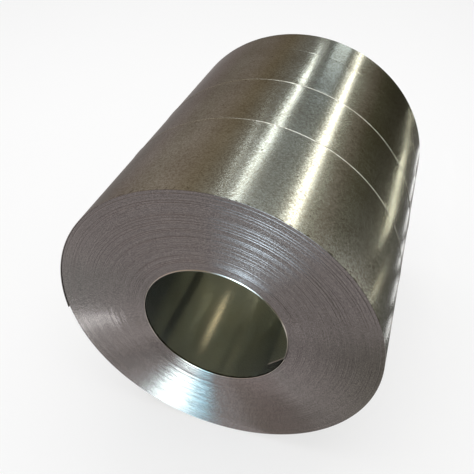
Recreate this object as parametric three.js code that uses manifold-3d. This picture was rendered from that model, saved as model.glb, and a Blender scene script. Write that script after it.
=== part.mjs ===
// A coil of steel strip, lying on its side on the floor.
//
// The strip is wound round a round eye. Millimetres, +Z up, the coil's axis along Y, and the origin on the floor
// under the middle of the strip's width. Angles go round the axis from +X towards +Z, in degrees, as they are seen
// when looking along +Y. Going outwards along the strip, the angle grows.
import * as THREE from 'three';
import { mergeVertices } from 'three/addons/utils/BufferGeometryUtils.js';
import Module from 'manifold-3d';

// Driving dimensions.
const STRIP_WIDTH = 1220;          // the coil's length along its axis
const STRIP_THICKNESS = 3;
const EYE_DIAMETER = 508;          // the hole through the middle
const TURNS = 104;                 // from the eye to the outside
const TURNS_PER_BAND = 13;         // turns that lie side by side as one step on the ends
const TELESCOPE = 15;              // how far the innermost band has slipped along the axis, towards +Y
const BAND_STAGGER = 1.5;          // how far every second band stands proud of its neighbours
const OUTER_TAIL_ANGLE = 187.5;    // where the outermost turn ends
const OUTER_TAIL_SWEEP = 105;      // the arc over which that end springs away from the coil
const OUTER_TAIL_GAP = 6;          // how far its very end stands off the turn below
const OUTER_TAIL_ROOT_DEPTH = 1;   // how deep its outer face starts below the coil's surface
const OUTER_TAIL_EASE = 1.5;       // how late in the sweep the spring shows: 1 is even, more is later
const INNER_TAIL_ANGLE = -13;      // where the innermost turn bends off the wall of the eye
const INNER_TAIL_LENGTH = 80;      // from that bend to the strip's inner end
const INNER_TAIL_BEND = 31;        // how sharply it bends into the eye, away from the wall's tangent
const SEGMENTS = 96;               // facets round the coil

const eyeRadius = EYE_DIAMETER / 2;
const outerRadius = eyeRadius + TURNS * STRIP_THICKNESS;
const facetAngle = 360 / SEGMENTS;
// The coil rests on a facet, so its axis is as high as the middle of a facet is from the axis.
const axisHeight = outerRadius * Math.cos(Math.PI / SEGMENTS);

const wasm = await Module();
wasm.setup();

const radians = THREE.MathUtils.degToRad;

// A point of the coil's cross-section, at a radius and an angle.
function polar(radius, degrees) {
  return new THREE.Vector2(radius * Math.cos(radians(degrees)), radius * Math.sin(radians(degrees)));
}

// The bands of turns from the eye outwards: where each starts and ends, and how far it has slipped along the axis.
function turnBands() {
  const bands = [];
  for (let turn = 0; turn < TURNS; turn += TURNS_PER_BAND) {
    const lastTurn = Math.min(turn + TURNS_PER_BAND, TURNS);
    const outwards = turn / Math.max(TURNS - TURNS_PER_BAND, 1);
    const stagger = (bands.length % 2) * BAND_STAGGER;
    bands.push({
      inner: eyeRadius + turn * STRIP_THICKNESS,
      outer: eyeRadius + lastTurn * STRIP_THICKNESS,
      slip: TELESCOPE * (1 - Math.min(outwards, 1)) - stagger,
    });
  }
  return bands;
}

// The wound turns as one turned solid. Every band is as wide as the strip, so a band that is set back at one end
// stands out by as much at the other.
function woundTurns(bands) {
  const nearEnd = [];
  const farEnd = [];
  for (const band of bands) {
    const near = band.slip - STRIP_WIDTH / 2;
    const far = band.slip + STRIP_WIDTH / 2;
    nearEnd.push(new THREE.Vector2(band.inner, near), new THREE.Vector2(band.outer, near));
    farEnd.push(new THREE.Vector2(band.inner, far), new THREE.Vector2(band.outer, far));
  }
  const profile = [...nearEnd, ...farEnd.reverse()];
  profile.push(profile[0].clone());
  // Half a facet of turn puts a whole facet at the bottom.
  return new THREE.LatheGeometry(profile, SEGMENTS, Math.PI / SEGMENTS, 2 * Math.PI);
}

// A piece of strip with a given edge-on outline, as wide as the strip and slipped along the axis with its band.
function stripOf(outline, slip) {
  const geometry = new THREE.ExtrudeGeometry(new THREE.Shape(outline), { depth: STRIP_WIDTH, bevelEnabled: false });
  geometry.rotateX(Math.PI / 2);
  geometry.translate(0, STRIP_WIDTH / 2 + slip, 0);
  return geometry;
}

// Angles from one to another, with a stop at every corner of the turned solid between them.
function anglesBetween(from, to) {
  const angles = [from];
  for (let corner = Math.ceil(from / facetAngle - 0.5); (corner + 0.5) * facetAngle < to; corner += 1) {
    const angle = (corner + 0.5) * facetAngle;
    if (angle > from) angles.push(angle);
  }
  angles.push(to);
  return angles;
}

// The outer tail: the last stretch of the outermost turn, which leaves the coil's surface and springs away from it.
function outerTail(slip) {
  const rootAngle = OUTER_TAIL_ANGLE - OUTER_TAIL_SWEEP;
  const rootRadius = outerRadius - OUTER_TAIL_ROOT_DEPTH;
  const rise = OUTER_TAIL_ROOT_DEPTH + OUTER_TAIL_GAP + STRIP_THICKNESS;
  const outside = [];
  const inside = [];
  for (const angle of anglesBetween(rootAngle, OUTER_TAIL_ANGLE)) {
    const along = (angle - rootAngle) / OUTER_TAIL_SWEEP;
    const radius = rootRadius + rise * along ** OUTER_TAIL_EASE;
    outside.push(polar(radius, angle));
    inside.push(polar(radius - STRIP_THICKNESS, angle));
  }
  return stripOf([...outside, ...inside.reverse()], slip);
}

// The inner tail: a straight flap that the innermost turn ends in, bent off the wall into the eye.
function innerTail(slip) {
  const heading = INNER_TAIL_ANGLE - 90 - INNER_TAIL_BEND;
  const bend = polar(eyeRadius, INNER_TAIL_ANGLE);
  const root = bend.clone().sub(polar(STRIP_THICKNESS, heading));
  const end = bend.clone().add(polar(INNER_TAIL_LENGTH, heading));
  const acrossStrip = polar(STRIP_THICKNESS, heading + 90);
  const outline = [root, end, end.clone().add(acrossStrip), root.clone().add(acrossStrip)];
  return stripOf(outline, slip);
}

// A closed three.js geometry as a solid that can be joined to others.
function toSolid(geometry) {
  const bare = geometry.clone();
  bare.deleteAttribute('normal');
  bare.deleteAttribute('uv');
  const welded = mergeVertices(bare);
  return new wasm.Manifold(new wasm.Mesh({
    numProp: 3,
    vertProperties: new Float32Array(welded.attributes.position.array),
    triVerts: new Uint32Array(welded.index.array),
  }));
}

function toGeometry(solid) {
  const mesh = solid.getMesh();
  const geometry = new THREE.BufferGeometry();
  geometry.setAttribute('position', new THREE.BufferAttribute(mesh.vertProperties, 3));
  geometry.setIndex(new THREE.BufferAttribute(mesh.triVerts, 1));
  geometry.computeVertexNormals();
  return geometry;
}

// Both tails are ends of the same strip, so the coil is one solid.
function coilGeometry() {
  const bands = turnBands();
  const innermost = bands[0];
  const outermost = bands[bands.length - 1];
  const solid = toSolid(woundTurns(bands))
    .add(toSolid(outerTail(outermost.slip)))
    .add(toSolid(innerTail(innermost.slip)));
  return toGeometry(solid);
}

const rolledSteel = new THREE.MeshStandardMaterial({ color: 0x8d8f8a, roughness: 0.35, metalness: 1.0 });

const coil = new THREE.Mesh(coilGeometry(), rolledSteel);
coil.name = 'coil';
coil.position.z = axisHeight;

const part = new THREE.Group();
part.add(coil);

export default part;
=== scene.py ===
# %% [markdown]
# # A coil of steel strip
#
# This lesson dresses a steel coil for a studio render. A coil is one long strip of galvanised
# sheet, wound tightly round a mandrel until it weighs as much as a lorry. The frame that is loaded
# first is the engineering model: it gives the size and the place, and everything here is built
# around it, in metres, with +Z up and the coil's axis along Y.

# %% Load the frame
import math

import bpy
import numpy as np
from mathutils import Matrix, Vector


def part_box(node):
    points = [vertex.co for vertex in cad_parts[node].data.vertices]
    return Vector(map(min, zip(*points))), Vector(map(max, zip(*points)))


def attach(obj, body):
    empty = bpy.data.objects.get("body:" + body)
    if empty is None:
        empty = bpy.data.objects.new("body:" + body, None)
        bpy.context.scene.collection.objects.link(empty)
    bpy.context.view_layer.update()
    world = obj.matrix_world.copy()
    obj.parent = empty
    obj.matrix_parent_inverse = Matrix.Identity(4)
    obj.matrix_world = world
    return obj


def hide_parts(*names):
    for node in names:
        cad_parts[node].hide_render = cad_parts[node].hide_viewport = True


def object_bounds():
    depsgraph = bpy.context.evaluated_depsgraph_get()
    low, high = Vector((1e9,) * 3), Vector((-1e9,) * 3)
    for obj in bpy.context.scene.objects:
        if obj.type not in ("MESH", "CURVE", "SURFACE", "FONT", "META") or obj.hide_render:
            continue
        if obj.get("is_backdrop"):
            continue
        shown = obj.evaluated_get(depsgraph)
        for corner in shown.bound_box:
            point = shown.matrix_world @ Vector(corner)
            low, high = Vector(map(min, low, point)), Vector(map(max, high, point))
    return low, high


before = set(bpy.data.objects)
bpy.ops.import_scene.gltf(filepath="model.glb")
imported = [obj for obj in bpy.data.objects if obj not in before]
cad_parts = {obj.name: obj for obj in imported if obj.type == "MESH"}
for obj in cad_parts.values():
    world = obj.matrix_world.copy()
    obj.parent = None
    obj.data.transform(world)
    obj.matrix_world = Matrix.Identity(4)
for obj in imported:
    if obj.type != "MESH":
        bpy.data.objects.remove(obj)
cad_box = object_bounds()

scene = bpy.context.scene
print("coil's box in metres:", [round(v, 4) for corner in cad_box for v in corner])

# %% [markdown]
# ## The strip as it was made
#
# Everything on a coil follows from a few facts about its strip: how wide and thick it is, and how
# far each turn lies outside the last. The hole in the middle is called the eye. It is 508 mm
# across, because that is the mandrel that the strip was wound on. The turns have slipped a little
# along the axis, those at the eye the most, which coilers call telescoping. The frame's solid is
# too coarse to measure single turns on, so these few sizes are written down once, and the rest is
# worked out from them.

# %% The strip's own sizes
STRIP_WIDTH = 1.220
STRIP_THICKNESS = 0.00295
TURN_PITCH = 0.003
EYE_RADIUS = 0.254
TELESCOPE = 0.015
OUTER_END_ANGLE = 187.5
INNER_BEND_ANGLE = -13.0
WHOLE_TURNS = 103
turn_count = WHOLE_TURNS + (OUTER_END_ANGLE - INNER_BEND_ANGLE) / 360
coil_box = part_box("coil")
axis_height = (coil_box[0].z + coil_box[1].z) / 2
outer_radius = EYE_RADIUS + TURN_PITCH * (turn_count + 1)
print(f"{turn_count:.2f} turns, {outer_radius * 2000:.0f} mm across, axis {axis_height * 1000:.1f} mm up")


# %% [markdown]
# ## Walking along the strip
#
# Seen from its end a coil is a spiral: at every full turn the radius grows by one strip. Blender's
# curves can draw one and sweep a section along it, but that section stays the same all the way.
# Here a place on the strip is given by its turn, counted from the eye. A small table of such
# places, each with a direction across the strip's thickness, is all that a sweep of one's own
# needs.

# %% Places on the spiral
def angle_at(turn):
    return math.radians(INNER_BEND_ANGLE) + turn * 2 * math.pi


def on_circle(radius, angle):
    return np.stack([radius * np.cos(angle), axis_height + radius * np.sin(angle)], axis=-1)


def wound_path(first_turn, last_turn, steps_per_turn):
    """Turns, points on the inner face, and outward directions, one row for each step."""
    count = max(2, round((last_turn - first_turn) * steps_per_turn) + 1)
    turns = np.linspace(first_turn, last_turn, count)
    angles = angle_at(turns)
    points = on_circle(EYE_RADIUS + TURN_PITCH * turns, angles)
    outward = np.stack([np.cos(angles), np.sin(angles)], axis=-1)
    return turns, points, outward


end_angle = math.degrees(angle_at(turn_count)) % 360
print(f"the strip meets the eye's wall at {INNER_BEND_ANGLE:.0f} and ends at {end_angle:.1f} degrees")

# %% [markdown]
# ## The inner end
#
# Winding starts by feeding the first bit of strip into a slot in the mandrel. When the mandrel has
# been drawn out, that bit still stands off the wall as a short tongue in the eye. It could be a
# small plate laid against the wall, but a real strip has no joint there. So the tongue is the start
# of the same path: walking backwards from the wall, the heading turns a little at every step of the
# bend and then stays as it is.

# %% The inner tail, bent into the eye
INNER_TAIL_LENGTH = 0.080
INNER_TAIL_BEND = 31.0
BEND_RADIUS = 0.012
BEND_STEPS = 6
TAIL_STEPS = 6
TAIL_TURN_STEP = 0.001


def direction(angle):
    return np.array([math.cos(angle), math.sin(angle)])


def inner_tail_path():
    """From the strip's inner end to just before it meets the wall of the eye."""
    bend = math.radians(INNER_TAIL_BEND)
    heading = angle_at(0.0) - math.pi / 2
    points = [on_circle(EYE_RADIUS, angle_at(0.0))]
    outward = [direction(angle_at(0.0))]
    for _ in range(BEND_STEPS):
        heading -= bend / BEND_STEPS
        points.append(points[-1] + BEND_RADIUS * bend / BEND_STEPS * direction(heading))
        outward.append(direction(heading + math.pi / 2))
    straight = (INNER_TAIL_LENGTH - BEND_RADIUS * bend) / TAIL_STEPS
    for _ in range(TAIL_STEPS):
        points.append(points[-1] + straight * direction(heading))
        outward.append(outward[-1])
    steps = len(points) - 1
    turns = np.linspace(-steps, 0, steps + 1) * TAIL_TURN_STEP
    return turns[:-1], np.array(points[:0:-1]), np.array(outward[:0:-1])


tail_path = inner_tail_path()
tip_radius = math.hypot(tail_path[1][0][0], tail_path[1][0][1] - axis_height)
print(f"inner tail: its end stands {(EYE_RADIUS - tip_radius) * 1000:.0f} mm off the wall of the eye")

# %% [markdown]
# ## How the turns lie at the ends
#
# No coiler lays every turn exactly above the last. Each turn sits a fraction of a millimetre proud
# or shy, and the slitting knives leave its corners more rounded in some places than in others. A
# noise texture that displaces the finished end would push at single turns and at the gaps between
# them alike. Slow curves along the strip itself, through a random value in about every turn, change
# only what changed on the real strip. The seed is fixed, so that the coil is the same coil each
# time.

# %% Slow curves along the strip
TURN_WANDER = 0.0001
KNOT_SPACING = (0.6, 1.4)
SPARE_KNOTS = 6
INNER_CORNER_SPREAD = (0.9, 1.1)
OUTER_CORNER_SPREAD = (0.3, 1.7)
rng = np.random.default_rng(508)
knot_gaps = rng.uniform(*KNOT_SPACING, int(turn_count + SPARE_KNOTS))
knot_turns = np.cumsum(np.concatenate([[-1.0], knot_gaps]))
knot_wander = rng.normal(0.0, TURN_WANDER, len(knot_turns))
knot_inner = rng.uniform(*INNER_CORNER_SPREAD, len(knot_turns))
knot_outer = rng.uniform(*OUTER_CORNER_SPREAD, len(knot_turns))


def along_strip(turns, values):
    """A slow curve along the strip through one random value in about every turn."""
    return np.interp(turns, knot_turns, values)


print(f"{len(knot_turns)} random values along the strip, the last at turn {knot_turns[-1]:.1f}")

# %% [markdown]
# Now and then a whole turn stands clearly proud of its neighbours. These are the single bright
# rings on the end of a coil, and they come at uneven distances. The turn at the eye, which
# everything that goes through it pulls at, is the proudest of all.

# %% Proud turns
PROUD_SPACING = (1.5, 5.0)
PROUD_SIZES = (0.1, 1.2)
FIRST_PROUD, LAST_PROUD = 4.4, 1.2
PROUD_SLIP = 0.00035
PROUD_FADE = 0.1
HALF_TURN = 0.5
PLAIN_OUTER_TURNS = 3
PROUD_DRAWS = 40
proud_turns = np.cumsum(np.concatenate([[HALF_TURN], rng.uniform(*PROUD_SPACING, PROUD_DRAWS)]))
proud_turns = proud_turns[proud_turns < turn_count - PLAIN_OUTER_TURNS]
proud_turns = np.append(proud_turns, turn_count - HALF_TURN)
between_sizes = rng.uniform(*PROUD_SIZES, len(proud_turns) - 2)
proud_size = np.concatenate([[FIRST_PROUD], between_sizes, [LAST_PROUD]])


def proud_at(turns):
    """How proud a place on the strip stands: nothing on most turns, and a whole turn now and then."""
    away = np.abs(turns[:, None] - proud_turns)
    height = np.clip((HALF_TURN + PROUD_FADE - away) / PROUD_FADE, 0, 1) * proud_size
    return height.max(axis=1)


def slip_at(turns):
    """How far a place on the strip has slipped along the axis."""
    steady = TELESCOPE * (1 - np.clip(turns / turn_count, 0, 1))
    return steady + along_strip(turns, knot_wander) - PROUD_SLIP * proud_at(turns)


print(f"{len(proud_turns)} proud turns, the proudest by {PROUD_SLIP * proud_size.max() * 1000:.1f} mm")

# %% [markdown]
# ## The section of the strip
#
# A sweep places a cross-section at every step and joins the sections with faces. The section of a
# slit strip isn't a plain rectangle: each long edge has two worn corners. They matter more than
# anything else on the ends of the coil, because a hundred of them, side by side, throw the bright
# fans that a wound coil always shows. A Bevel modifier would round them all by the same amount, so
# they are written into the section instead, and change along the strip. The turn at the eye is so
# worn that its two corners run into each other by a fraction of a millimetre.

# %% Corners of one edge
HALF_WIDTH = STRIP_WIDTH / 2
NEAR_EDGE, FAR_EDGE = -1, 1
EDGE_CORNERS = 4
CORNER_ROUNDING = 0.0009
BACK_ROUNDING = 0.00006
PROUD_ROUNDING = 0.0006


def edge_columns(turns, side):
    """Depth and place across the width of one edge's corners, from the inner face outwards."""
    inner = np.full(len(turns), CORNER_ROUNDING)
    outer = BACK_ROUNDING * along_strip(turns, knot_outer) + PROUD_ROUNDING * proud_at(turns)
    zero = np.zeros(len(turns))
    thick = np.full(len(turns), STRIP_THICKNESS)
    depth = [zero, inner * along_strip(turns, knot_inner), thick - outer, thick]
    inset = [inner, zero, zero, outer]
    return depth, [side * (HALF_WIDTH - away) for away in inset]


print(f"the strip's corners are rounded over {CORNER_ROUNDING * 1000:.1f} mm on its inner side")


# %% [markdown]
# Two edges and the rows of the outer side go nearly once round the strip, and the inner side, which
# is plain, closes the ring with a single face. It is noted which corners belong to the outer side,
# because later steps treat that one in its own way.

# %% The whole section
def section_columns(turns, across):
    """Depth and width for every corner round the section, and the columns of its outer face."""
    near_depth, near_width = edge_columns(turns, NEAR_EDGE)
    far_depth, far_width = edge_columns(turns, FAR_EDGE)
    face_depth = [np.full(len(turns), STRIP_THICKNESS)] * len(across)
    face_width = [np.full(len(turns), place) for place in across]
    depth = near_depth + face_depth + far_depth[::-1]
    width = near_width + face_width + far_width[::-1]
    outer_face = np.arange(EDGE_CORNERS - 1, EDGE_CORNERS + len(across) + 1)
    return np.stack(depth, axis=1), np.stack(width, axis=1), outer_face


print(f"a section has {2 * EDGE_CORNERS} corners and one more for every row on its outer side")


# %% [markdown]
# A corner is moved outwards by its depth, and along the axis by its place across the width and by
# the slip of its turn, and that puts it in space. Two functions may add to the depth: the lift
# takes the whole section along, and the relief only its outer side. A short sample of a plain turn
# shows whether it works.

# %% Corners in space
SAMPLE_FROM, SAMPLE_TO = 2.2, 2.0
SAMPLE_STEPS_PER_TURN = 100


def strip_corners(path, across, lift, relief):
    """Every corner of every section in space, its place across the width, and the outer face's columns."""
    turns, points, outward = path
    depth, width, outer_face = section_columns(turns, list(across))
    if lift is not None:
        depth = depth + lift(turns)[:, None]
    if relief is not None:
        on_outer_face = np.isin(np.arange(depth.shape[1]), outer_face)
        depth = depth + relief(turns[:, None], width) * on_outer_face
    plane = points[:, None, :] + outward[:, None, :] * depth[:, :, None]
    y = width + slip_at(turns)[:, None]
    return np.stack([plane[:, :, 0], y, plane[:, :, 1]], axis=-1), width, outer_face


sample_path = wound_path(turn_count - SAMPLE_FROM, turn_count - SAMPLE_TO, SAMPLE_STEPS_PER_TURN)
sample, _, sample_outer_face = strip_corners(sample_path, (), None, None)
print(f"the sample has {sample.shape[0]} sections with {sample.shape[1]} corners each")


# %% [markdown]
# ## From corners to a mesh
#
# With all the corners in a grid, one row for each step, the faces are neighbours in that grid. A
# loop could go over them, nearly a hundred thousand, one by one. numpy writes them all at once,
# which is quicker and shorter. Both ends get a cap, so that the strip is a closed solid.

# %% Faces
def strip_mesh(name, corners):
    """A closed mesh of four-sided faces between the sections, with a cap at either end."""
    steps, around = corners.shape[:2]
    index = np.arange(steps * around).reshape(steps, around)
    here, after = index[:-1], index[1:]
    quads = np.stack([here, np.roll(here, -1, 1), np.roll(after, -1, 1), after], axis=-1)
    caps = [index[0][::-1].tolist(), index[-1].tolist()]
    mesh = bpy.data.meshes.new(name)
    mesh.from_pydata(corners.reshape(-1, 3).tolist(), [], quads.reshape(-1, 4).tolist() + caps)
    mesh.polygons.foreach_set("use_smooth", np.ones(len(mesh.polygons), bool))
    return mesh


print(f"every step of a plain sweep adds {sample.shape[1]} faces")

# %% [markdown]
# The outer side, the slit edges and the inner side of a galvanised strip don't look alike, so every
# face gets the number of its steel. Sorting the faces afterwards, by where they point, would go
# wrong on the rounded corners. While the mesh is being made it is known which column each face came
# from, so they are numbered right away.

# %% The steel of each face
OUTER_SIDE, EDGES, INNER_SIDE = 0, 1, 2


def number_steels(mesh, steps, around, outer_face):
    """Gives every face the number of its steel; the caps count as edges."""
    round_the_section = np.full(around, EDGES)
    round_the_section[outer_face[:-1]] = OUTER_SIDE
    round_the_section[-1] = INNER_SIDE
    numbers = np.concatenate([np.tile(round_the_section, steps - 1), [EDGES, EDGES]])
    mesh.polygons.foreach_set("material_index", numbers.astype(np.int32))


print("steels:", OUTER_SIDE, "outer side,", EDGES, "edges,", INNER_SIDE, "inner side")

# %% [markdown]
# The steels need to know where they are on the strip. A UV map is the usual answer, and it doesn't
# have to run from 0 to 1: here it is the unrolled strip in metres, with the way along it as X and
# the place across it as Y. A crystal is then the same size wherever it lies.

# %% The unrolled strip
def unroll(mesh, points, width, start_length):
    """Writes the strip's own coordinates into a UV map, and returns how far along it this piece ends."""
    corner = np.zeros(len(mesh.loops), np.int32)
    mesh.loops.foreach_get("vertex_index", corner)
    strides = np.linalg.norm(np.diff(points, axis=0), axis=1)
    length = start_length + np.concatenate([[0], np.cumsum(strides)])
    unrolled = np.stack(np.broadcast_arrays(length[:, None], width), axis=-1).reshape(-1, 2)
    mesh.uv_layers.new(name="strip").data.foreach_set("uv", unrolled[corner].ravel())
    return length[-1]


print(f"across the strip the map runs from {-HALF_WIDTH} to {HALF_WIDTH} m")

# %% [markdown]
# ## Shading that keeps the flats flat
#
# A slit edge is flat across and curved along. Plain smooth shading would blend it with its rounded
# corners until the end of the coil looked like rope, and flat shading would show every step of the
# curve. So each corner of each face gets its own normal: square to the face across the strip, and
# smooth along it. Only the broad outer side is smooth both ways.

# %% A normal for every corner
def corner_normals(corners, outer_face):
    """The normals at the start and end of every face round the section."""
    across = np.roll(corners, -1, axis=1) - corners
    along = np.gradient(corners, axis=0)
    start = np.cross(across, along)
    end = np.cross(across, np.roll(along, -1, axis=1))
    smooth = np.cross(np.gradient(corners[:, outer_face], axis=1), along[:, outer_face])
    start[:, outer_face[:-1]] = smooth[:, :-1]
    end[:, outer_face[:-1]] = smooth[:, 1:]
    return [normals / np.linalg.norm(normals, axis=-1, keepdims=True) for normals in (start, end)]


def set_normals(mesh, corners, outer_face):
    start, end = corner_normals(corners, outer_face)
    wound = np.stack([start[:-1], end[:-1], end[1:], start[1:]], axis=2).reshape(-1, 3)
    normals = np.concatenate([wound, np.zeros((2 * corners.shape[1], 3))])
    for number in (len(mesh.polygons) - 2, len(mesh.polygons) - 1):
        cap = mesh.polygons[number]
        normals[cap.loop_start:cap.loop_start + cap.loop_total] = cap.normal
    mesh.normals_split_custom_set(normals.tolist())


FLAT_OF_NEAR_EDGE = 1
flat_normal = corner_normals(sample, sample_outer_face)[0][0, FLAT_OF_NEAR_EDGE]
print("the sample's near edge looks along", flat_normal.round(2).tolist())

# %% [markdown]
# ## The sweep itself
#
# The steps so far, one after the other, make one piece of strip. Blender's own Screw modifier would
# be quicker to set up, but it repeats one section unchanged. This sweep leaves the rows, the lift
# and the relief to whoever calls it, so it serves the plain turns as well as the one that everyone
# sees.

# %% Sweep
def sweep_strip(name, path, across=(), lift=None, relief=None, start_length=0.0):
    """One piece of the strip along a path, and how far along the whole strip it ends."""
    corners, width, outer_face = strip_corners(path, across, lift, relief)
    steps, around = width.shape
    mesh = strip_mesh(name, corners)
    number_steels(mesh, steps, around, outer_face)
    end_length = unroll(mesh, path[1], width, start_length)
    set_normals(mesh, corners, outer_face)
    piece = bpy.data.objects.new(name, mesh)
    scene.collection.objects.link(piece)
    triangles = sum(len(face.vertices) - 2 for face in mesh.polygons)
    print(f"{name}: {len(mesh.vertices)} points, {triangles} triangles")
    return piece, end_length


# %% [markdown]
# ## The wound turns
#
# More than a hundred turns lie under the outermost one, and little more than their ends is ever
# seen. They could be a stack of closed rings, each a little larger, but then the coil would have no
# beginning and no end. One sweep from the inner tail outwards is as short to write, and is what a
# coil is. Its sides are hidden or plain, so it needs no rows across its width.

# %% Inner tail and wound turns
OUTER_TURN_LENGTH = 1.075
WOUND_STEPS_PER_TURN = 112
first_of_outer = turn_count - OUTER_TURN_LENGTH
body_path = wound_path(0.0, first_of_outer, WOUND_STEPS_PER_TURN)
whole_path = [np.concatenate(both) for both in zip(tail_path, body_path)]
wound_turns, wound_length = sweep_strip("wound_turns", whole_path)
print(f"{wound_length:.1f} m of strip under the outermost turn")

# %% [markdown]
# ## The outermost turn
#
# The last turn is the one that everyone sees, so it has finer steps and real shape across its
# width. Bands once pulled tight round the coil have left long creases in it, and the tail at its
# end springs up a few millimetres. A normal map could fake the creases, but where one runs over the
# edge of the barrel the outline has to move, so they are modelled. Under the coil its own weight
# presses them flat again.

# %% Creases and tail
TAIL_SWEEP = 105.0
TAIL_GAP = 0.006
TAIL_EASE = 3.0
CREASE_WIDTH = 0.0014
SWELL_WIDTH = 0.014
CREASES = {0.432: (0.0009, 0.0003), 0.746: (0.0011, 0.0003), 1.0425: (0.00025, 0.0001)}
PRESSED_ANGLE = 25.0


def tail_lift(turns):
    """How far the strip has sprung off the turn below."""
    along = 1 - (turn_count - turns) * 360 / TAIL_SWEEP
    return TAIL_GAP * np.clip(along, 0, 1) ** TAIL_EASE


def crease_relief(turns, width):
    """The creases, each a sharp ridge on a low swell, which fade where the coil rests."""
    from_edge = width + HALF_WIDTH
    height = np.zeros(np.broadcast(turns, width).shape)
    for place, (ridge, swell) in CREASES.items():
        away = from_edge - place
        height = height + ridge * np.exp(-((away / CREASE_WIDTH) ** 2))
        height = height + swell * np.exp(-((away / SWELL_WIDTH) ** 2))
    from_floor = np.degrees(np.arccos(np.clip(-np.sin(angle_at(turns)), -1, 1)))
    return height * np.clip((from_floor - PRESSED_ANGLE) / PRESSED_ANGLE, 0, 1)


print("creases, in metres from the near edge:", list(CREASES))

# %% [markdown]
# A crease is about three millimetres wide on a strip of more than a metre. Rows fine enough for it
# all over the width would make half a million faces, so the rows crowd close to each crease and are
# far apart elsewhere.

# %% Where the outer turn needs its rows
CREASE_ROWS = [0.0007, 0.0014, 0.0022, 0.0033, 0.005, 0.008, 0.013, 0.02, 0.03]
PLAIN_ROWS = 24
CLEAR_OF_CREASES = 0.01


def rows_across():
    """Places across the width, in order, for the rows of the outer side."""
    near_creases = []
    for place in CREASES:
        middle = place - HALF_WIDTH
        near_creases += [middle] + [middle + side * step for side in (-1, 1) for step in CREASE_ROWS]
    plain = np.linspace(-HALF_WIDTH, HALF_WIDTH, PLAIN_ROWS + 2)[1:-1]
    clear = [y for y in plain if min(abs(y - row) for row in near_creases) > CLEAR_OF_CREASES]
    return sorted(clear + near_creases)


outer_rows = rows_across()
print(f"{len(outer_rows)} rows across, {len(CREASE_ROWS)} of them on each side of each crease")

# %% [markdown]
# With its rows, its lift and its relief the outermost turn goes through the same sweep. The piece
# is a little longer than a full turn, so it starts under its own tail, and its seam doesn't show.

# %% The outermost turn and its tail
OUTER_TURN_STEPS = 256
outer_path = wound_path(first_of_outer, turn_count, OUTER_TURN_STEPS)
outer_turn, strip_length = sweep_strip(
    "outer_turn", outer_path, outer_rows, tail_lift, crease_relief, wound_length)
print(f"the whole strip is {strip_length:.1f} m long")

# %% [markdown]
# ## Fastening the pieces to the frame
#
# The frame holds one plain solid for the coil. The two swept pieces together stand in for it, and
# both ride on the coil's only body.

# %% Ride and replace
for piece in (wound_turns, outer_turn):
    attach(piece, "root")
    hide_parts("coil")
    print(piece.name, "rides on root and replaces coil")

# %% [markdown]
# ## Small helpers for materials
#
# A material here is a node tree, written out as code. It could be wired by hand in the shader
# editor, but then its numbers would be hidden in the nodes. Two helpers keep the code short: one
# starts a material with its shader, and one adds a node, sets its values and links its inputs in a
# single call.

# %% Node helpers
def new_material(name):
    """A material with nothing in it but a Principled shader, its tree, and that shader."""
    material = bpy.data.materials.new(name)
    material.use_nodes = True
    tree = material.node_tree
    tree.nodes.clear()
    output = tree.nodes.new("ShaderNodeOutputMaterial")
    shader = tree.nodes.new("ShaderNodeBsdfPrincipled")
    tree.links.new(shader.outputs["BSDF"], output.inputs["Surface"])
    return material, tree, shader


def add(tree, kind, links=(), values=(), **settings):
    """A node of this kind: settings are its own properties, links and values go to its inputs."""
    node = tree.nodes.new(kind)
    for key, value in settings.items():
        setattr(node, key, value)
    for key, value in dict(values).items():
        node.inputs[key].default_value = value
    for key, source in dict(links).items():
        tree.links.new(source, node.inputs[key])
    return node


print("node helpers: new_material, add")

# %% [markdown]
# Two pairs of nodes come back in nearly every material. A colour ramp over some value needs a Map
# Range first, since a ramp only reads from 0 to 1. A noise for the strip is always a flat one, read
# from the unrolled strip.

# %% Ramps and noises
def ramp_over(tree, value, low, high, stops):
    """A colour that goes through the (position, colour) stops while a value goes from low to high."""
    share = add(tree, "ShaderNodeMapRange", {"Value": value}, {"From Min": low, "From Max": high})
    ramp = add(tree, "ShaderNodeValToRGB", {"Fac": share.outputs["Result"]})
    elements = ramp.color_ramp.elements
    while len(elements) < len(stops):
        elements.new(0.5)
    for element, (position, colour) in zip(elements, stops):
        element.position = position
        element.color = (*colour, 1)
    return ramp.outputs["Color"]


def noise_on_strip(tree, strip, scale, detail):
    """A noise that lies in the sheet, from 0 to 1 and mostly near 0.5."""
    noise = add(tree, "ShaderNodeTexNoise", {"Vector": strip}, {"Scale": scale, "Detail": detail},
                noise_dimensions="2D")
    return noise.outputs["Fac"]


print("node helpers: ramp_over, noise_on_strip")

# %% [markdown]
# ## Zinc crystals
#
# The strip is steel dipped in molten zinc. The zinc freezes into flat crystals a few millimetres
# across, which the trade calls spangle, and every crystal gives back a slightly different tone. A
# picture of spangle would have to be hundreds of metres long to cover the strip without repeating.
# A Voronoi texture has a cell for every crystal and costs nothing, and a slow noise on top of it
# makes some stretches darker than others. Both read the strip's unrolled coordinates, so the
# crystals lie flat in the sheet and follow it round the coil.

# %% Tone of each crystal
CRYSTAL_SIZE = 0.0042
CLOUD_SCALE, CLOUD_DETAIL = 5.0, 3.0
TONE_SPREAD = (0.4, 1.6)


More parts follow.
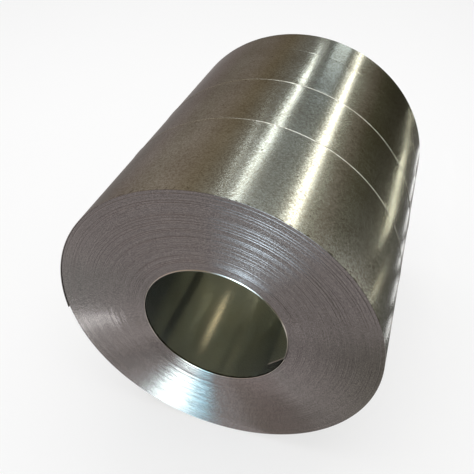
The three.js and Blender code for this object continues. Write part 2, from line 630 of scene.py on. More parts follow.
def crystal_tones(tree, strip, tones):
    """A colour for each crystal out of a ramp of tones, and the random numbers that tell them apart."""
    crystals = add(tree, "ShaderNodeTexVoronoi", {"Vector": strip}, {"Scale": 1 / CRYSTAL_SIZE},
                   voronoi_dimensions="2D")
    clouds = noise_on_strip(tree, strip, CLOUD_SCALE, CLOUD_DETAIL)
    one_number = add(tree, "ShaderNodeSeparateXYZ", {"Vector": crystals.outputs["Color"]})
    tone = add(tree, "ShaderNodeMath", {0: one_number.outputs["X"], 1: clouds}, operation="ADD")
    return ramp_over(tree, tone.outputs["Value"], *TONE_SPREAD, tones), crystals.outputs["Color"]


print(f"about {strip_length * STRIP_WIDTH / CRYSTAL_SIZE ** 2 / 1e6:.0f} million crystals on each side")

# %% [markdown]
# A crystal's face also leans a hair out of the sheet. The lean is far too small to see as shape,
# but a long lamp mirrored in the sheet breaks up into grains because of it. Instead of a bump
# texture, which would smooth the step between two crystals, the crystal's own random numbers are
# added straight to the surface's direction.

# %% Lean of each crystal
CRYSTAL_LEAN = 0.014


def leaning_normal(tree, random_numbers, size):
    """The surface's direction, pushed a little to one side by each crystal's random numbers."""
    centred = add(tree, "ShaderNodeVectorMath", {0: random_numbers}, {1: (0.5, 0.5, 0.5)},
                  operation="SUBTRACT")
    lean = add(tree, "ShaderNodeVectorMath", {0: centred.outputs["Vector"]}, {"Scale": size},
               operation="SCALE")
    normal = add(tree, "ShaderNodeNewGeometry").outputs["Normal"]
    leaning = add(tree, "ShaderNodeVectorMath", {0: lean.outputs["Vector"], 1: normal}, operation="ADD")
    unit = add(tree, "ShaderNodeVectorMath", {0: leaning.outputs["Vector"]}, operation="NORMALIZE")
    return unit.outputs["Vector"]


print(f"crystals lean up to {math.degrees(CRYSTAL_LEAN * math.sqrt(3) / 2):.2f} degrees")

# %% [markdown]
# ## Wear along the edge
#
# Hooks, straps and the floor touch a coil at its edges first. Two things show it there: small dark
# scuffs, and a duller, more handled zinc. Both could be painted by hand on a texture. Here the
# scuffs are a noise plus a slope across the width of the strip, cut off at a level: the closer to
# the edge, the more of the noise gets over the level. The short tail in the eye is left out, since
# nothing reaches it.

# %% Scuffs, and a painted line of shade
SCUFF_AND_SHADE_COLOUR = (0.16, 0.14, 0.11, 1.0)
SCUFF_SCALE, SCUFF_DETAIL = 75.0, 3.0
SCUFF_AND_SHADE_LEVEL = (0.71, 0.77)


def scuffs_and_shade(tree, strip, place, clean, reach, amount):
    """Mixes dark scuffs into a clean colour, and on the inner side a painted line of shade; reach is in
    metres from the near edge.
    """
    spots = noise_on_strip(tree, strip, SCUFF_SCALE, SCUFF_DETAIL)
    slope = add(tree, "ShaderNodeMapRange", {"Value": place.outputs["Y"]},
                {"From Min": -HALF_WIDTH, "From Max": reach - HALF_WIDTH, "To Min": amount, "To Max": 0.0})
    past_tail = add(tree, "ShaderNodeMath", {0: place.outputs["X"]}, {1: INNER_TAIL_LENGTH},
                    operation="GREATER_THAN")
    raised = add(tree, "ShaderNodeMath", {0: slope.outputs["Result"], 1: past_tail.outputs["Value"],
                                          2: spots}, operation="MULTIPLY_ADD")
    share = add(tree, "ShaderNodeMapRange", {"Value": raised.outputs["Value"]},
                {"From Min": SCUFF_AND_SHADE_LEVEL[0], "From Max": SCUFF_AND_SHADE_LEVEL[1]})
    mixed = add(tree, "ShaderNodeMix", {"Factor": share.outputs["Result"], "A": clean}, {"B": SCUFF_AND_SHADE_COLOUR},
                data_type="RGBA")
    return mixed.outputs["Result"]


print(f"scuffs are about {1000 / SCUFF_SCALE:.0f} mm across")

# %% [markdown]
# The duller zinc is no colour but a roughness: where the sheet has been gripped and wiped, a lamp
# mirrored in it spreads out. A straight ramp across the width would show as a line across every
# highlight, so a coarse noise pushes the ramp to and fro and leaves it ragged.

# %% Handled zinc
RAGGED_SIZE = 0.09
RAGGED_SCALE, RAGGED_DETAIL = 14.0, 4.0
DULL_FROM = -0.2
DULL_TO = HALF_WIDTH + RAGGED_SIZE / 2


def handled_roughness(tree, strip, place, clean, handled):
    """Roughness that rises from the clean value far from the near edge to the handled one at it."""
    nearness = add(tree, "ShaderNodeMath", {0: place.outputs["Y"]}, {1: -1.0}, operation="MULTIPLY")
    ragged = noise_on_strip(tree, strip, RAGGED_SCALE, RAGGED_DETAIL)
    reach = add(tree, "ShaderNodeMath", {0: ragged, 2: nearness.outputs["Value"]}, {1: RAGGED_SIZE},
                operation="MULTIPLY_ADD")
    dull = add(tree, "ShaderNodeMapRange", {"Value": reach.outputs["Value"]},
               {"From Min": DULL_FROM, "From Max": DULL_TO, "To Min": clean, "To Max": handled})
    return dull.outputs["Result"]


print(f"the zinc is clean from about {DULL_TO - DULL_FROM:.2f} m off the near edge")

# %% [markdown]
# ## Galvanised sheet
#
# The parts come together in one function, because the strip has two sides. The outer side has the
# full spangle and the wear. The inner side, seen in the eye, was pressed on the mandrel: it is
# smoother and paler, and a film of oil makes it a touch less than pure metal. A thin dark line along
# its near edge is painted shade, where the wall of the eye sits back behind the end of the coil.
# Rolling drew all the metal lengthwise, which stretches highlights a little across the grain, so the
# shader gets some anisotropy with the strip's own direction as its tangent.

# %% One function for both sides
GRAIN = 0.3
ACROSS_THE_STRIP = 0.25


def sheet_steel(name, tones, metallic, edge_tint, roughness, handled, lean, scuff_and_shade_reach, scuff_and_shade_amount):
    """One side of the strip; the reach of the scuffs and of the edge's painted shade is in metres, and the
    two roughnesses go from 0 to 1.
    """
    material, tree, shader = new_material(name)
    shader.inputs["Metallic"].default_value = metallic
    shader.inputs["Specular Tint"].default_value = (edge_tint, edge_tint, edge_tint, 1)
    shader.inputs["Anisotropic"].default_value = GRAIN
    shader.inputs["Anisotropic Rotation"].default_value = ACROSS_THE_STRIP
    grain_way = add(tree, "ShaderNodeTangent", direction_type="UV_MAP", uv_map="strip")
    tree.links.new(grain_way.outputs["Tangent"], shader.inputs["Tangent"])
    strip = add(tree, "ShaderNodeUVMap", uv_map="strip").outputs["UV"]
    place = add(tree, "ShaderNodeSeparateXYZ", {"Vector": strip})
    clean, random_numbers = crystal_tones(tree, strip, tones)
    colour = scuffs_and_shade(tree, strip, place, clean, scuff_and_shade_reach, scuff_and_shade_amount)
    tree.links.new(colour, shader.inputs["Base Color"])
    tree.links.new(handled_roughness(tree, strip, place, roughness, handled), shader.inputs["Roughness"])
    tree.links.new(leaning_normal(tree, random_numbers, lean), shader.inputs["Normal"])
    print(f"{name}: {len(tree.nodes)} nodes")
    return material


# %% [markdown]
# Zinc passes for a cool grey, but on this strip it is a warm one: its dark crystals are brownish,
# and only the palest are close to neutral. The inner side has tones that lie closer together and no
# lean, because the mandrel has pressed its crystals flat. Both sides stand in one cell, where their
# numbers are easy to compare.

# %% The two sides
OUTER_TONES = [(0.0, (0.30, 0.28, 0.242)), (0.35, (0.38, 0.372, 0.333)),
               (0.7, (0.43, 0.43, 0.40)), (1.0, (0.50, 0.505, 0.485))]
INNER_TONES = [(0.0, (0.54, 0.545, 0.485)), (1.0, (0.64, 0.645, 0.585))]
outer_side = sheet_steel("galvanised sheet", OUTER_TONES, metallic=1.0, edge_tint=0.4, roughness=0.165,
                         handled=0.24, lean=CRYSTAL_LEAN, scuff_and_shade_reach=0.02, scuff_and_shade_amount=0.16)
# On the inner side the scuffs are pushed so hard near the edge that they paint a solid thin line of shade
# along the rim of the eye.
inner_side = sheet_steel("galvanised sheet, inner side", INNER_TONES, metallic=0.93, edge_tint=0.6,
                         roughness=0.145, handled=0.145, lean=0.0, scuff_and_shade_reach=0.012, scuff_and_shade_amount=0.8)

# %% [markdown]
# ## Slit edges
#
# The strip was slit to width from a wider sheet, so its edges are bare steel with no zinc on them,
# darker and warmer than the sides. A hundred of them, stacked, make the ring-shaped end of the
# coil. They differ a little from turn to turn, which one slow noise along the strip gives, and a
# fine noise keeps them from looking painted. The innermost turn is painted much brighter: partly
# the rubbing of everything that goes through the eye, and partly a painted highlight on the eye's rim.

# %% Edge material
EDGE_TONES = [(0.0, (0.157, 0.136, 0.131)), (1.0, (0.275, 0.239, 0.23))]
EDGE_TONE_SPREAD = (0.35, 0.8)
EDGE_ROUGHNESS = 0.2
TURN_TONE_SCALE, FINE_SCALE = 2.5, 220.0
EDGE_DETAIL = 1.0
FINE_SHARE = 0.15
FIRST_TURN_END = INNER_TAIL_LENGTH + 2 * math.pi * EYE_RADIUS
RUBBED_AND_HIGHLIGHT_COLOUR = (0.55, 0.50, 0.45, 1.0)


def slit_edge(name):
    """Bare steel that changes a little along the strip; the innermost turn is rubbed and carries a painted
    highlight.
    """
    material, tree, shader = new_material(name)
    shader.inputs["Metallic"].default_value = 1.0
    shader.inputs["Roughness"].default_value = EDGE_ROUGHNESS
    strip = add(tree, "ShaderNodeUVMap", uv_map="strip").outputs["UV"]
    turn_by_turn = noise_on_strip(tree, strip, TURN_TONE_SCALE, EDGE_DETAIL)
    fine = noise_on_strip(tree, strip, FINE_SCALE, EDGE_DETAIL)
    tone = add(tree, "ShaderNodeMath", {0: turn_by_turn, 2: fine}, {1: FINE_SHARE},
               operation="MULTIPLY_ADD")
    bare = ramp_over(tree, tone.outputs["Value"], *EDGE_TONE_SPREAD, EDGE_TONES)
    place = add(tree, "ShaderNodeSeparateXYZ", {"Vector": strip})
    # The first turn's brighter colour is partly rubbed steel and partly a painted highlight on the rim of
    # the eye.
    first_turn = add(tree, "ShaderNodeMath", {0: place.outputs["X"]}, {1: FIRST_TURN_END},
                     operation="LESS_THAN")
    colour = add(tree, "ShaderNodeMix", {"Factor": first_turn.outputs["Value"], "A": bare},
                 {"B": RUBBED_AND_HIGHLIGHT_COLOUR}, data_type="RGBA")
    tree.links.new(colour.outputs["Result"], shader.inputs["Base Color"])
    print(f"{name}: {len(tree.nodes)} nodes, bright for the first {FIRST_TURN_END:.2f} m")
    return material


# %% [markdown]
# ## Three steels on one strip
#
# A mesh keeps its materials in a list of slots, and every face points at one of them by number. The
# sweep has numbered the faces already, so it is enough to append the three steels in that order:
# the outer side, the edges, the inner side.

# %% Put the steels on the strip
edge = slit_edge("slit edge")
for piece in (wound_turns, outer_turn):
    for steel in (outer_side, edge, inner_side):
        piece.data.materials.append(steel)
    print(piece.name, "wears", [slot.name for slot in piece.data.materials])

# %% [markdown]
# ## The floor
#
# A pale, dull floor takes a soft shadow, which says that the coil is heavy and lies on something.
# More lamps would make it pale, but they would flood the steel as well. A Light Path node says what
# kind of ray has hit a surface, so the floor can look white without lighting anything.

# %% Who is looking
def seen_directly(tree):
    """1 for the camera and for what shows in metal and glass, 0 for the light that falls on things."""
    ray = add(tree, "ShaderNodeLightPath")
    glossy = add(tree, "ShaderNodeMath", {0: ray.outputs["Is Camera Ray"], 1: ray.outputs["Is Glossy Ray"]},
                 operation="MAXIMUM")
    both = add(tree, "ShaderNodeMath", {0: glossy.outputs["Value"], 1: ray.outputs["Is Transmission Ray"]},
               operation="MAXIMUM")
    return both.outputs["Value"]


print("seen_directly is 1 for rays from the camera, off metal and through glass")

# %% [markdown]
# Most of what the camera sees of the floor is a plain white glow of strength 1, there for the camera
# and for mirrors, and not for the light that falls on things. The rest is ordinary dull paint, and
# the shadow shows on that.

# %% Floor
FLOOR_SIZE = 60.0
FLOOR_GLOW = 0.65
FLOOR_PAINT = (0.9, 0.9, 0.9, 1.0)
FLOOR_ROUGHNESS = 0.8
FLOOR_SHEEN = 0.2
bpy.ops.mesh.primitive_plane_add(size=FLOOR_SIZE, location=(0, 0, 0))
floor = bpy.context.object
floor.name = "floor"
floor_paint, tree, shader = new_material("pale floor")
shader.inputs["Base Color"].default_value = FLOOR_PAINT
shader.inputs["Roughness"].default_value = FLOOR_ROUGHNESS
shader.inputs["Specular IOR Level"].default_value = FLOOR_SHEEN
white = add(tree, "ShaderNodeEmission", (), {"Strength": 1.0})
share = add(tree, "ShaderNodeMath", {0: seen_directly(tree)}, {1: FLOOR_GLOW}, operation="MULTIPLY")
both = add(tree, "ShaderNodeMixShader", {0: share.outputs["Value"], 1: shader.outputs["BSDF"],
                                         2: white.outputs["Emission"]})
tree.links.new(both.outputs["Shader"], tree.nodes["Material Output"].inputs["Surface"])
floor.data.materials.append(floor_paint)
floor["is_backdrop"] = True
print(f"floor: {FLOOR_SIZE:.0f} m square, {FLOOR_GLOW:.0%} glow")

# %% [markdown]
# ## A tent for the metal
#
# Metal has hardly any look of its own: it shows what stands around it. A coil in an empty white
# room would be plain white, so it needs a hall, with walls and a ceiling in duller tones. A whole
# hall could be modelled, but those who light shiny things for a living build a tent of cloth
# instead, since its colours are easy to change. The tent here is a long tunnel along the coil's axis.
# Nothing but the steel sees it, because the camera, the shadows and the floor's light are switched
# off for it. Its colours go by the angle round the axis, so that the round barrel shows them side
# by side.

# %% The tent's outline
TENT_HALF_WIDTH = 2.0
TENT_HEIGHT = 3.4
TENT_NEAR = -4.0
TENT_FAR = 9.0
FLOOR_CLEARANCE = 0.01
NEARLY_ZERO = 1e-6


def tent_point(angle):
    """Where a line from the coil's axis at this angle meets the tent, as x and height above the axis."""
    away = [TENT_HALF_WIDTH / max(abs(math.cos(angle)), NEARLY_ZERO)]
    if math.sin(angle) > 0:
        away.append((TENT_HEIGHT - axis_height) / math.sin(angle))
    else:
        away.append((axis_height - FLOOR_CLEARANCE) / max(-math.sin(angle), NEARLY_ZERO))
    reach = min(away)
    return reach * math.cos(angle), reach * math.sin(angle)


print(f"tent: {2 * TENT_HALF_WIDTH:.0f} m wide, {TENT_HEIGHT} m high, {TENT_FAR - TENT_NEAR:.0f} m long")

# %% [markdown]
# The tent is sewn together from stretches between two angles. A single closed tunnel would be
# simpler, but then the floor in front of the coil would be covered too, and the cards that light
# the coil's end lie there. Each stretch is a row of flat faces, about two degrees wide, from near
# to far.

# %% A strip of the tent
TENT_STEP = 2.0


def only_for_steel(piece):
    """Hides a piece from everything but mirrors, and marks it as stage."""
    piece.visible_camera = False
    piece.visible_diffuse = False
    piece.visible_shadow = False
    piece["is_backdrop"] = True


def tent_strip(name, first, last, near, far, shrink=1.0):
    """A stretch of the tent between two angles, from near to far along the coil's axis."""
    steps = round((last - first) / TENT_STEP)
    angles = np.radians(np.linspace(first, last, steps + 1))
    profile = [tent_point(angle) for angle in angles]
    points = [(x * shrink, y, z * shrink) for y in (near, far) for x, z in profile]
    row = len(profile)
    mesh = bpy.data.meshes.new(name)
    mesh.from_pydata(points, [], [(i, i + 1, i + 1 + row, i + row) for i in range(row - 1)])
    piece = bpy.data.objects.new(name, mesh)
    piece.location = (0, 0, axis_height)
    scene.collection.objects.link(piece)
    only_for_steel(piece)
    print(f"{name}: {first} to {last} degrees, {far - near:.2f} m long")
    return piece


# %% [markdown]
# Walls and ceiling are one stretch. Two more lie on the floor at the coil's sides, and begin a
# little behind its near end.

# %% Walls, ceiling and floor cloth
TENT_FIRST, TENT_LAST = -40.0, 220.0
RIGHT_FOOT, LEFT_FOOT = -15.6, 195.6
FLOOR_CLOTH_NEAR = -0.3
tent = tent_strip("tent", RIGHT_FOOT, LEFT_FOOT, TENT_NEAR, TENT_FAR)
right_cloth = tent_strip("right floor cloth", TENT_FIRST, RIGHT_FOOT, FLOOR_CLOTH_NEAR, TENT_FAR)
left_cloth = tent_strip("left floor cloth", LEFT_FOOT, TENT_LAST, FLOOR_CLOTH_NEAR, TENT_FAR)


# %% [markdown]
# To put a colour on each wall there could be a material for each, with a hard line between two. A
# ramp over the angle blends them, and one material does for the whole tent. The angle comes from
# the arc tangent of height and width, both measured from the coil's axis.

# %% Colour of the cloth, by angle
WRAP_DEGREES = (-90, 270)


def colour_by_angle(tree, split, stops):
    """A colour that goes by the angle round the coil's axis; stops are {degrees: colour}."""
    turn = add(tree, "ShaderNodeMath", {0: split.outputs["Z"], 1: split.outputs["X"]}, operation="ARCTAN2")
    unwrapped = add(tree, "ShaderNodeMath", {0: turn.outputs["Value"]},
                    {1: math.radians(WRAP_DEGREES[0]), 2: math.radians(WRAP_DEGREES[1])},
                    operation="WRAP")
    span = TENT_LAST - TENT_FIRST
    placed = [((degrees - TENT_FIRST) / span, colour) for degrees, colour in stops.items()]
    return ramp_over(tree, unwrapped.outputs["Value"], math.radians(TENT_FIRST), math.radians(TENT_LAST),
                     placed)


def glow_material(name):
    """A material with no surface yet, and its object coordinates split into three numbers."""
    material, tree, shader = new_material(name)
    tree.nodes.remove(shader)
    where = add(tree, "ShaderNodeTexCoord")
    split = add(tree, "ShaderNodeSeparateXYZ", {"Vector": where.outputs["Object"]})
    return material, tree, split, tree.nodes["Material Output"].inputs["Surface"]


print(f"the cloth's colours run from {TENT_FIRST:.0f} to {TENT_LAST:.0f} degrees")

# %% [markdown]
# The hall's colours run from the floor on the right, over a dark wall and a grey ceiling, to a warm
# wall and the floor on the left. Each can be found again on the barrel, in the same order.

# %% A dull hall
HALL = {
    -36: (0.28, 0.27, 0.25), -24: (0.30, 0.29, 0.26), -16: (0.26, 0.25, 0.19), -4: (0.11, 0.10, 0.07),
    12: (0.09, 0.084, 0.052), 28: (0.125, 0.117, 0.068), 38: (0.26, 0.22, 0.165), 47: (0.43, 0.42, 0.33),
    72: (0.35, 0.37, 0.345), 81: (0.34, 0.36, 0.34), 106: (0.295, 0.275, 0.232), 126: (0.32, 0.25, 0.155),
    142: (0.47, 0.39, 0.33), 157: (0.53, 0.46, 0.39), 172: (0.63, 0.52, 0.49), 190: (0.58, 0.52, 0.50),
    215: (0.42, 0.39, 0.37)}
hall_cloth, tree, split, surface = glow_material("hall cloth")
glow = add(tree, "ShaderNodeEmission", {"Color": colour_by_angle(tree, split, HALL)})
tree.links.new(glow.outputs["Emission"], surface)
for piece in (tent, right_cloth, left_cloth):
    piece.data.materials.append(hall_cloth)
print(f"hall cloth: {len(HALL)} colours round the axis")

# %% [markdown]
# ## Light for the creases
#
# A crease is a ridge about a millimetre high, and it only shows if its slope mirrors something much
# brighter than the sheet around it does. Turning up all the lamps would wash out the sheet. So a
# band of light goes round the tent above the coil itself: from where we stand, the flat of the
# sheet mirrors the hall behind the coil and never meets the band, while the slopes of the creases
# look straight at it. The band is glow added to clear glass, and it fades out on all sides, so that
# no hard edge of it shows in the barrel from anywhere.

# %% A band of light over the coil
BAND_FIRST, BAND_LAST = -14, 150
BAND_NEAR, BAND_FAR = -0.35, 1.05
BAND_FADE = 0.3
BAND_STRENGTH = 4.5
INSIDE_THE_TENT = 0.99
BLACK = (0.0, 0.0, 0.0)
BAND_LIGHT = {
    BAND_FIRST: BLACK, -4: (0.28, 0.28, 0.27), 30: (0.45, 0.45, 0.44), 50: (0.7, 0.7, 0.68),
    94: (0.8, 0.8, 0.78), 106: (0.2, 0.2, 0.19), BAND_LAST: BLACK}
band = tent_strip("band", BAND_FIRST, BAND_LAST, BAND_NEAR, BAND_FAR, INSIDE_THE_TENT)
band_cloth, tree, split, surface = glow_material("band of light")
near_fade = add(tree, "ShaderNodeMapRange", {"Value": split.outputs["Y"]},
                {"From Min": BAND_NEAR, "From Max": BAND_NEAR + BAND_FADE, "To Max": BAND_STRENGTH},
                interpolation_type="SMOOTHSTEP")
far_fade = add(tree, "ShaderNodeMapRange", {"Value": split.outputs["Y"]},
               {"From Min": BAND_FAR, "From Max": BAND_FAR - BAND_FADE}, interpolation_type="SMOOTHSTEP")
strength = add(tree, "ShaderNodeMath", {0: near_fade.outputs["Result"], 1: far_fade.outputs["Result"]},
               operation="MULTIPLY")
glow = add(tree, "ShaderNodeEmission", {"Color": colour_by_angle(tree, split, BAND_LIGHT),
                                        "Strength": strength.outputs["Value"]})
glass = add(tree, "ShaderNodeBsdfTransparent")
both = add(tree, "ShaderNodeAddShader", {0: glow.outputs["Emission"], 1: glass.outputs["BSDF"]})
tree.links.new(both.outputs["Shader"], surface)
band.data.materials.append(band_cloth)
print(f"band of light: {len(band_cloth.node_tree.nodes)} nodes, faded over {BAND_FADE} m at either end")

# %% [markdown]
# ## A board behind the eye
#
# Looking into the eye, light has bounced two or three times along its wall before it comes out, and
# what it brings along is whatever stands behind the coil. A round board there, bright in the middle
# and dark farther out, turns into soft streaks that run along the wall. A plain disc with a ramp
# over its radius is all it takes.

# %% Board
BOARD_RADIUS = 0.36
BOARD_BEHIND = 0.72
BOARD_RINGS = [(0.0, (0.57, 0.52, 0.35)), (0.3, (0.345, 0.32, 0.23)), (0.6, (0.132, 0.133, 0.098)),
               (1.0, (0.20, 0.205, 0.14))]
bpy.ops.mesh.primitive_circle_add(radius=BOARD_RADIUS, fill_type="NGON",
                                  location=(0, BOARD_BEHIND, axis_height),
                                  rotation=(math.radians(90), 0, 0))
board = bpy.context.object
board.name = "board"
board_paint, tree, shader = new_material("board paint")
tree.nodes.remove(shader)
where = add(tree, "ShaderNodeTexCoord")
from_middle = add(tree, "ShaderNodeVectorMath", {0: where.outputs["Object"]}, operation="LENGTH")
rings = ramp_over(tree, from_middle.outputs["Value"], 0.0, BOARD_RADIUS, BOARD_RINGS)
glow = add(tree, "ShaderNodeEmission", {"Color": rings})
tree.links.new(glow.outputs["Emission"], tree.nodes["Material Output"].inputs["Surface"])
board.data.materials.append(board_paint)
only_for_steel(board)
print(f"board: {2 * BOARD_RADIUS:.2f} m across, {BOARD_BEHIND} m behind the middle of the coil")


# %% [markdown]
# ## Placing cards and lamps
#
# Cards and long lamps are placed the way one would carry them into a studio: by their two ends, and
# by the point that they face. Blender wants a matrix, whose X runs from end to end and whose -Z
# looks at that point.

# %% Between two points
COIL_MIDDLE = (0, 0, 0.57)


def between(start, end, aim):
    """A matrix that lays local X from start to end and turns local -Z towards the aim, and the length."""
    start, end = Vector(start), Vector(end)
    centre = (start + end) / 2
    along = (end - start).normalized()
    back = centre - Vector(aim)
    back = (back - along * back.dot(along)).normalized()
    turned = Matrix((along, back.cross(along), back)).transposed()
    return Matrix.LocRotScale(centre, turned.to_quaternion(), None), (end - start).length


print("cards and lamps face", COIL_MIDDLE, "unless told otherwise")

# %% [markdown]
# A card is one face that glows by itself. An area lamp would do the same with less noise, but it
# has a single colour, while a card takes a ramp along its length. The ramp reads the object's own
# X, which `between` has laid from the card's start to its end.

# %% A card
def card(name, start, end, width, stops, aim=COIL_MIDDLE):
    """A glowing card seen only in the steel; stops are (position from start to end, colour) pairs."""
    placed, length = between(start, end, aim)
    corners = [(x * length / 2, y * width / 2, 0) for x, y in ((-1, -1), (1, -1), (1, 1), (-1, 1))]
    mesh = bpy.data.meshes.new(name)
    mesh.from_pydata(corners, [], [(0, 1, 2, 3)])
    piece = bpy.data.objects.new(name, mesh)
    piece.matrix_world = placed
    scene.collection.objects.link(piece)
    only_for_steel(piece)
    material, tree, split, surface = glow_material(name)
    colour = ramp_over(tree, split.outputs["X"], -length / 2, length / 2, stops)
    glow = add(tree, "ShaderNodeEmission", {"Color": colour})
    tree.links.new(glow.outputs["Emission"], surface)
    mesh.materials.append(material)
    print(f"{name}: {length:.2f} by {width:.2f} m")


# %% [markdown]
# ## Cards for the end of the coil
#
# The end that faces us is a stack of flat edges, and a flat mirror seen at this slant shows the
# floor just in front of the coil. Two cards on the floor give it its even, warm grey. The fans of
# light that cross the rings come from somewhere else: from the rounded corners of the edges, whose
# slopes run round with the turns, so that only those at one angle catch a card hung in front. The
# colour of each card changes along its length, and across the fan that change shows again, as a
# soft start, a white middle and a cold end.

# %% Cards on the floor
FLOOR_CARD_Y, FOOT_CARD_Y = -0.94, -0.71
HIGH_UP = 2
FLOOR_TONE = (0.86, 0.86, 0.86)
COOL_GREY, OLIVE_GREY = (0.60, 0.67, 0.65), (0.52, 0.54, 0.48)
card("floor card", (-1.6, FLOOR_CARD_Y, 0.01), (1.1, FLOOR_CARD_Y, 0.01), 0.62, [
    (0.0, COOL_GREY), (0.27, COOL_GREY), (0.40, FLOOR_TONE), (0.67, FLOOR_TONE), (0.79, OLIVE_GREY),
    (1.0, OLIVE_GREY)], aim=(0, FLOOR_CARD_Y, HIGH_UP))
card("foot card", (-0.1, FOOT_CARD_Y, 0.015), (1.1, FOOT_CARD_Y, 0.015), 0.16, [
    (0.0, FLOOR_TONE), (0.25, (0.42, 0.43, 0.40)), (1.0, (0.36, 0.37, 0.34))],
    aim=(0, FOOT_CARD_Y, HIGH_UP))

# %% [markdown]
# The front card hangs lower and makes the lower fan, on the corners that point inwards. The high
# card makes the upper one, on the corners that point outwards, and is weaker. Their numbers are
# well over 1 because a rounded corner is so small that it gives back only a trace of what it
# mirrors.

# %% Cards for the fans of light
card("front card", (1.25, -3.3, 1.21), (-0.55, -3.3, 2.02), 0.6, [
    (0.0, BLACK), (0.14, (6, 8, 8.6)), (0.25, (18, 24, 25)), (0.40, (22, 28, 29)), (0.53, (16, 22, 24)),
    (0.66, (5, 11, 13.5)), (0.84, (3, 7, 9)), (1.0, BLACK)])
card("high card", (-0.7, -2.0, 2.68), (2.1, -2.0, 1.67), 0.6, [
    (0.0, BLACK), (0.28, (1.8, 2.6, 3.1)), (0.5, (7.2, 10.0, 11.8)), (0.72, (2.3, 3.2, 3.8)), (1.0, BLACK)])

# %% [markdown]
# A last card hangs high behind the coil, like a window in the hall's roof. It lays a patch of cool
# daylight on the far end of the barrel, which fades towards us because the card's ramp starts from
# black.

# %% Daylight card
card("daylight card", (0.73, 4.2, 3.3), (0.73, 8.6, 3.3), 0.74, [
    (0.0, BLACK), (0.16, (0.4, 0.45, 0.45)), (0.3, (0.9, 1.0, 1.0)), (0.5, (3.0, 3.4, 3.4)),
    (1.0, (3.6, 4.1, 4.1))])


# %% [markdown]
# ## Long lamps over the barrel
#
# The long highlights on a rolled barrel are the hall's lamps, each drawn out into a line by the
# curve of the sheet. An area lamp is the better tool for them than a glowing mesh, because Cycles
# aims at it and the highlight stays free of noise. Blender's lamps ask for watts; these are given
# by how bright their face looks, since that is what the steel shows, and the watts follow from the
# size. A spread under 180 degrees gathers the same watts into a beam. All of them are switched off
# for dull surfaces such as the floor.

# %% A long lamp
def tube(name, start, end, width, radiance, colour=(1, 1, 1), aim=COIL_MIDDLE, spread=180.0):
    """A long flat lamp between two points, seen only in the steel; spread is in degrees."""
    placed, length = between(start, end, aim)
    data = bpy.data.lights.new(name, "AREA")
    data.shape = "RECTANGLE"
    data.size = length
    data.size_y = width
    data.energy = radiance * math.pi * data.size * data.size_y
    data.color = colour
    data.spread = math.radians(spread)
    lamp = bpy.data.objects.new(name, data)
    lamp.matrix_world = placed
    lamp.visible_camera = False
    lamp.visible_diffuse = False
    scene.collection.objects.link(lamp)
    print(f"{name}: {length:.2f} by {width:.3f} m, {data.energy:.2g} W")


# %% [markdown]
# Two rows of lamps hang under the ceiling. The right-hand row is warm and has a dimmer, wider shade
# beside it. The left-hand row is a little green, with a fainter lamp on either side. Each row could
# be one lamp, but lamps in a real row differ, and a row in stretches lets its line on the barrel
# swell and thin out along the way.

# %% Lamps under the ceiling
WARM = (1.0, 1.0, 0.88)
GREENISH = (0.93, 1.0, 0.96)
tube("right tube near", (1.58, 1.6, 3.0), (1.58, 4.9, 3.0), 0.22, 6.0, WARM)
tube("right tube shade", (1.46, 1.4, 3.02), (1.46, 7.5, 3.02), 0.36, 1.3, WARM)
tube("right tube far", (1.60, 4.9, 3.0), (1.60, 8.0, 3.0), 0.14, 6.0, WARM)
tube("left tube", (-0.21, 1.3, 3.0), (-0.13, 3.5, 3.0), 0.15, 5.8, GREENISH)
tube("left tube far", (-0.13, 3.5, 3.0), (-0.12, 4.4, 3.0), 0.13, 8.0, GREENISH)
tube("right tube strand", (0.02, 4.3, 3.0), (0.02, 5.1, 3.0), 0.06, 2.4, GREENISH)
tube("far left tube", (-0.72, 1.8, 3.2), (-0.78, 3.2, 3.2), 0.055, 3.8, GREENISH)

# %% [markdown]
# The last row stands near the floor, along the right-hand wall. Lamps so low can only be mirrored
# by the steep side of the barrel, which shows them as one tapering line.

# %% Lamps along the right-hand wall
YELLOW = (1.0, 0.98, 0.78)
tube("low tube", (1.81, 1.66, 0.088), (1.80, 2.85, 0.084), 0.036, 29.0, YELLOW)
tube("low tube far", (1.80, 2.85, 0.084), (1.93, 4.2, 0.12), 0.036, 13.0, YELLOW)
tube("low tube near", (1.80, 1.0, 0.06), (1.80, 1.15, 0.06), 0.16, 5.0, YELLOW)

# %% [markdown]
# ## Small lights
#
# Three small effects are left, and the first is a glint across the left of the end, where the flat
# edges mirror one bright patch of floor. A brighter spot on the floor card would need a ramp in two
# directions, so it is a small lamp instead, turned towards that part of the end.

# %% Glint on the end
tube("floor glint", (-0.02, -1.28, 0.02), (0.18, -1.06, 0.02), 0.10, 0.62, (0.88, 0.97, 1.0),
     aim=(-0.53, -0.61, 0.45), spread=50.0)

# %% [markdown]
# The wall of the eye shows a thin golden streak with a brown haze beside it. That is light from
# behind the coil, mirrored along the wall on its way out. A plain lamp there would put a broad
# glare on the whole wall. Faint beams with a narrow spread are only seen from where they point, so
# they stay slender and stay inside. The number in front of each beam is the side from which it
# slants into the eye, as an angle round the axis.

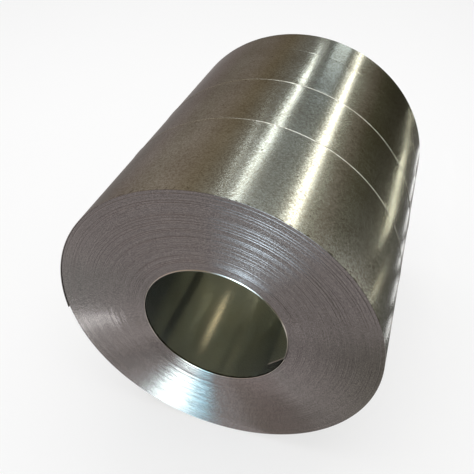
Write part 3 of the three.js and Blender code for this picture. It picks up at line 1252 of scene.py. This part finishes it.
# %% Beams into the eye
EYE_BEAMS = {61.0: (0.066, (1.0, 0.81, 0.655), 16.0), 35.0: (0.012, (1.0, 0.80, 0.60), 50.0),
             -35.0: (0.012, (1.0, 0.92, 0.7), 40.0)}
OUTWARD, ALONG_AXIS = 0.785, 0.62
BEAM_SIZE = (0.096, 0.16)
BEAM_PLACES = (-0.15, 0.0, 0.14)
BEAMS_BEHIND = 0.65
for azimuth, (radiance, colour, spread) in EYE_BEAMS.items():
    sideways = Vector((math.cos(math.radians(azimuth)), 0, math.sin(math.radians(azimuth))))
    out_of_eye = OUTWARD * sideways + Vector((0, ALONG_AXIS, 0))
    across = ALONG_AXIS * sideways - Vector((0, OUTWARD, 0))
    for place in BEAM_PLACES:
        middle = Vector((0, BEAMS_BEHIND, axis_height)) + place * sideways
        half = across * BEAM_SIZE[0] / 2
        tube(f"eye beam {azimuth:.0f} {place}", middle - half, middle + half, BEAM_SIZE[1],
             radiance, colour, aim=middle - out_of_eye, spread=spread)

# %% [markdown]
# Low on the right the barrel mirrors a broken bright pattern, as a ribbed wall or a rack leaves it.
# A row of short strips on the floor is enough. They grow longer with distance, and so does the step
# from one to the next, so that their reflections stay about the same size.

# %% Strips on the floor
STRIPS = 6
FIRST_STRIP = 0.06
STRIP_SPACING, SPACING_GROWTH = 0.235, 0.012
FIRST_LENGTH, LENGTH_GROWTH = 0.13, 0.035
for step in range(STRIPS):
    near = FIRST_STRIP + STRIP_SPACING * step + SPACING_GROWTH * step ** 2
    far = near + FIRST_LENGTH + LENGTH_GROWTH * step
    tube(f"floor strip {step}", (0.86, near, 0.03), (0.80, far, 0.03), 0.10, 4.8)

# %% [markdown]
# ## Light for the floor
#
# One wide lamp high above gives the floor its soft shadow. It is hidden from mirrors, because its
# square would show on the barrel, where the tent and the long lamps already say everything.

# %% Soft ceiling lamp
SOFT_SIZE = 6.0
SOFT_RADIANCE = 1.4
soft = bpy.data.lights.new("soft ceiling", "AREA")
soft.shape = "SQUARE"
soft.size = SOFT_SIZE
soft.energy = SOFT_RADIANCE * math.pi * SOFT_SIZE ** 2
soft_lamp = bpy.data.objects.new("soft ceiling", soft)
soft_lamp.location = (-0.6, 0.8, 5.0)
soft_lamp.visible_camera = False
soft_lamp.visible_glossy = False
scene.collection.objects.link(soft_lamp)
print(f"soft ceiling: {SOFT_SIZE:.0f} m square, {soft.energy:.0f} W")

# %% [markdown]
# The world is the backdrop behind the floor's far edge. The same trick as on the floor makes it
# nearly white for the camera and for mirrors, and darker for the light that it gives.

# %% World
WORLD_LIGHT, WORLD_SEEN = 0.62, 0.92
world = bpy.data.worlds.new("studio")
scene.world = world
world.use_nodes = True
tree = world.node_tree
background = tree.nodes["Background"]
level = add(tree, "ShaderNodeMapRange", {"Value": seen_directly(tree)},
            {"To Min": WORLD_LIGHT, "To Max": WORLD_SEEN})
tree.links.new(level.outputs["Result"], background.inputs["Strength"])
background.inputs["Color"].default_value = (1, 1, 1, 1)
print(f"world: {WORLD_LIGHT} as light, {WORLD_SEEN} as background")

# %% [markdown]
# ## The camera
#
# The camera looks down along the coil from its right, so that the end, the eye and the whole barrel
# show at once. It is tipped as well as turned, and `to_track_quat` works out the rotation from the
# direction of view. The Standard view transform keeps the tones as they were chosen.

# %% Camera
LENS, SENSOR_WIDTH = 43.33, 36.0
CAMERA_PLACE = (0.47665, -1.78074, 2.04048)
VIEW_DIRECTION = (-0.24204, 0.72578, -0.64395)
camera_data = bpy.data.cameras.new("camera")
camera_data.lens = LENS
camera_data.sensor_width = SENSOR_WIDTH
camera = bpy.data.objects.new("camera", camera_data)
forward = Vector(VIEW_DIRECTION).normalized()
camera.location = CAMERA_PLACE
camera.rotation_euler = forward.to_track_quat("-Z", "Y").to_euler()
scene.collection.objects.link(camera)
scene.camera = camera
scene.view_settings.view_transform = "Standard"
print(f"camera {math.degrees(math.asin(-forward.z)):.1f} degrees down")

# %% [markdown]
# ## The size of both models
#
# A dressed model must not outgrow the engineering model. Both boxes are printed side by side, in
# metres.

# %% Size of both models
size = {"cad": [list(corner) for corner in cad_box], "visual": [list(corner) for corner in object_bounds()]}
for model, box in size.items():
    print(model, [round(high - low, 4) for low, high in zip(*box)])
